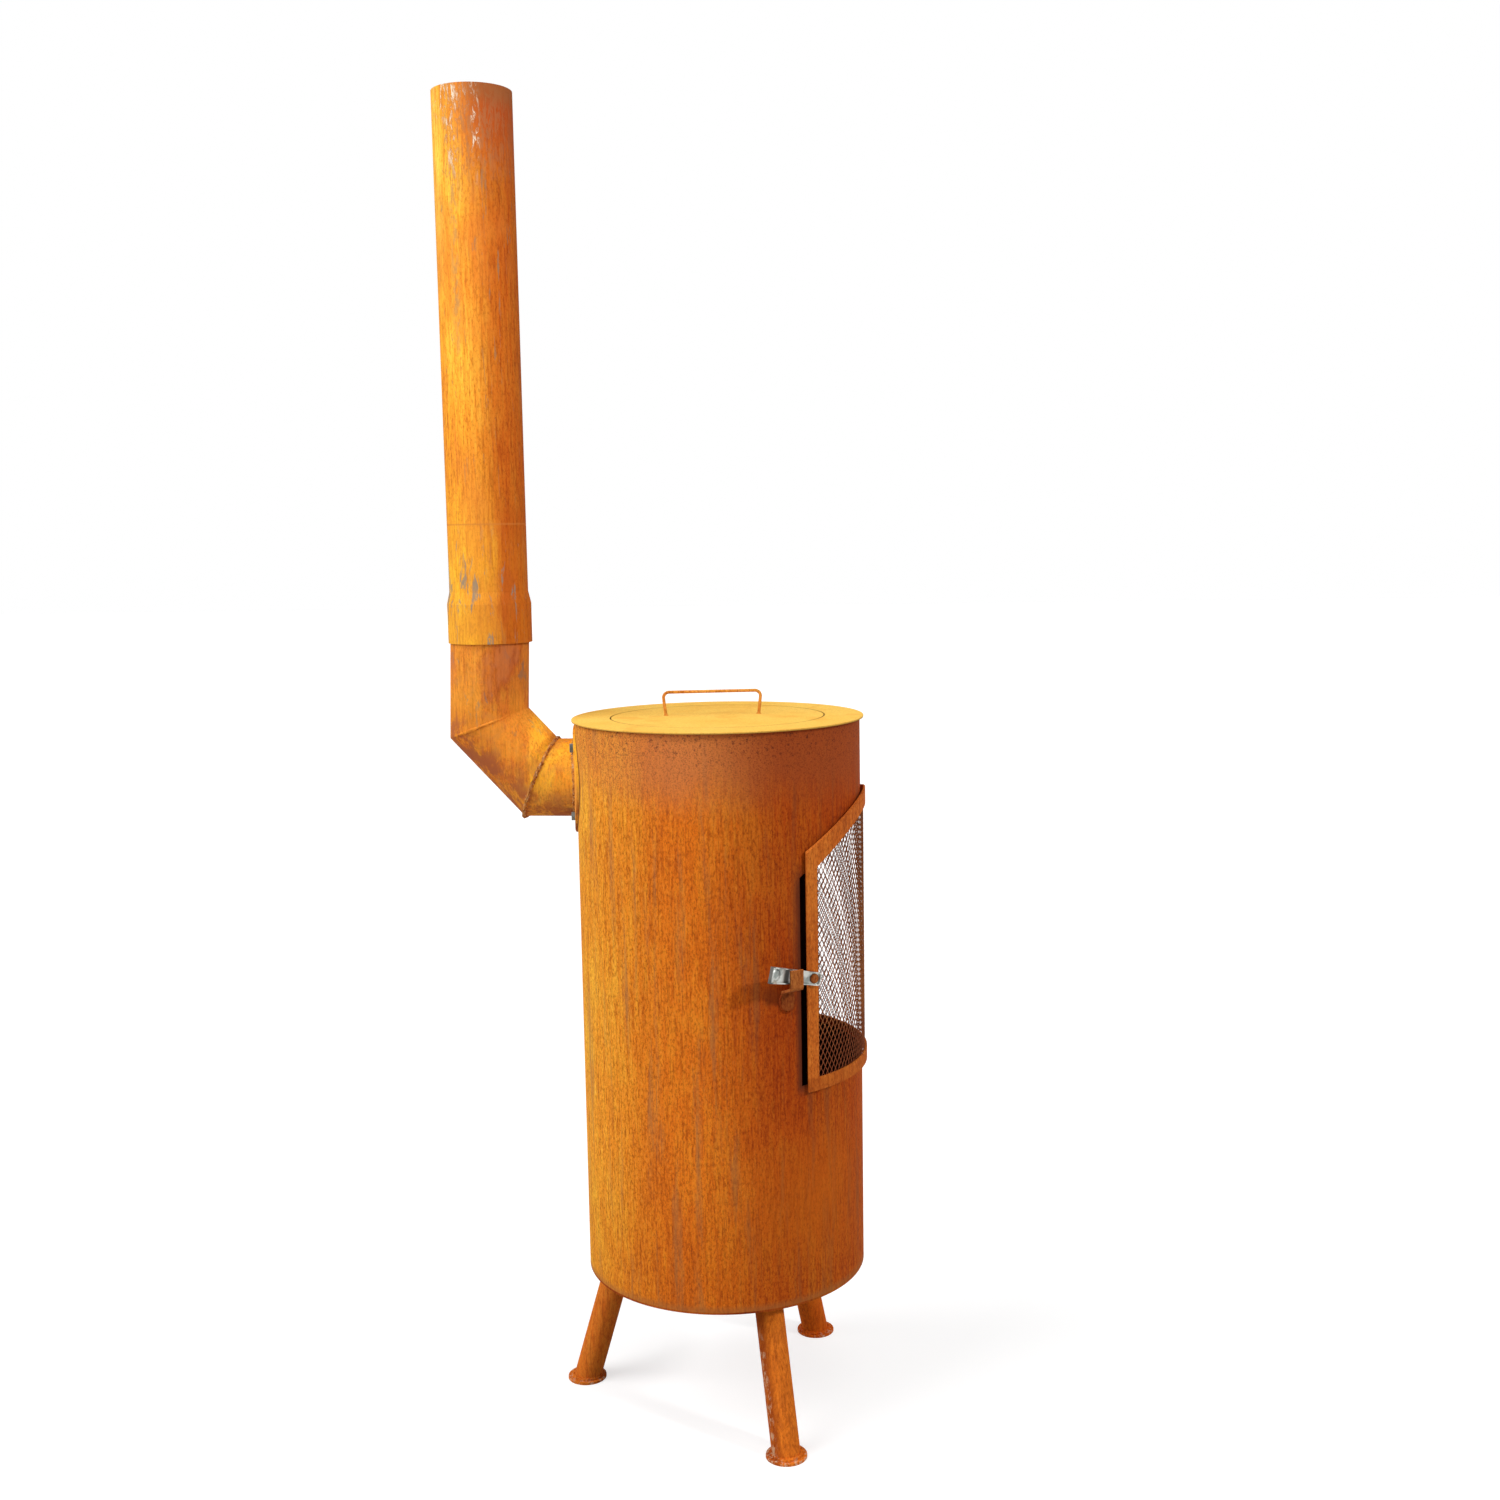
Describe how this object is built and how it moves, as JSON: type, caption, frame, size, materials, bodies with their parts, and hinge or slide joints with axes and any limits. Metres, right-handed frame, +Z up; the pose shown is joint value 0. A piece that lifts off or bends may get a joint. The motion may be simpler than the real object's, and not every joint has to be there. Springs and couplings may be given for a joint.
{
  "type": "garden fireplace",
  "caption": "Rusted steel garden fireplace: a drum on splayed legs with a mesh door, a lift-off cooking lid and a pipe chimney.",
  "frame": {"origin": "on the ground under the drum's axis, midway between the three feet", "axes": "+Z up along the drum's axis; the flue leaves the drum along +Y; the door looks along -Y, turned 4 degrees toward its hinges on the +X side; the latch is on the -X side"},
  "size_m": [0.4923, 0.6664, 2.088],
  "materials": {
    "drum_rust": "matt",
    "top_rust": "matt",
    "pipe_rust": "matt",
    "leg_rust": "matt",
    "door_rust": "matt",
    "mesh_steel": "matt",
    "pin_steel": "satin",
    "zinc_steel": "satin",
    "grate_iron": "matt"
  },
  "bodies": {
    "stove": {"drum_shell": "drum_rust", "base_plate": "leg_rust", "top_plate": "top_rust", "lid_seat": "door_rust", "leg_rear": "leg_rust", "leg_left": "leg_rust", "leg_right": "leg_rust", "foot_rear": "leg_rust", "foot_left": "leg_rust", "foot_right": "leg_rust", "flue_flange": "pipe_rust", "flange_bolts": "zinc_steel", "flange_nuts": "zinc_steel", "elbow_stub": "pipe_rust", "elbow_middle": "pipe_rust", "elbow_riser": "pipe_rust", "latch_hook": "door_rust", "hinge_lower_halves": "door_rust", "hinge_pins": "pin_steel", "hinge_washers": "pin_steel", "grate_lugs": "door_rust", "grate_shelf": "door_rust"},
    "door": {"door_frame": "door_rust", "door_mesh": "mesh_steel", "hinge_upper_halves": "door_rust", "latch_rivet": "door_rust", "latch_spacer": "pin_steel"},
    "latch": {"latch_lever": "zinc_steel"},
    "lid": {"lid_plate": "top_rust", "lid_handle": "top_rust"},
    "chimney": {"chimney_pipe": "pipe_rust"},
    "grate": {"fire_grate": "grate_iron"}
  },
  "joints": [
    {"name": "door_hinge", "type": "hinge", "parent": "stove", "child": "door", "pos_m": [0.19938, -0.12018, 0.734], "axis": [0, 0, 1], "range_deg": [0, 160]},
    {"name": "latch_lever_pivot", "type": "hinge", "parent": "door", "child": "latch", "pos_m": [-0.17013, -0.1592, 0.7425], "axis": [0.7302, 0.6833, 0], "range_deg": [0, 75]},
    {"name": "lid_lift", "type": "slide", "parent": "stove", "child": "lid", "axis": [0, 0, 1], "range_m": [0, 0.15]},
    {"name": "chimney_lift", "type": "slide", "parent": "stove", "child": "chimney", "axis": [0, 0, 1], "range_m": [0, 0.1]},
    {"name": "grate_lift", "type": "slide", "parent": "stove", "child": "grate", "axis": [0, 0, 1], "range_m": [0, 0.1]}
  ]
}
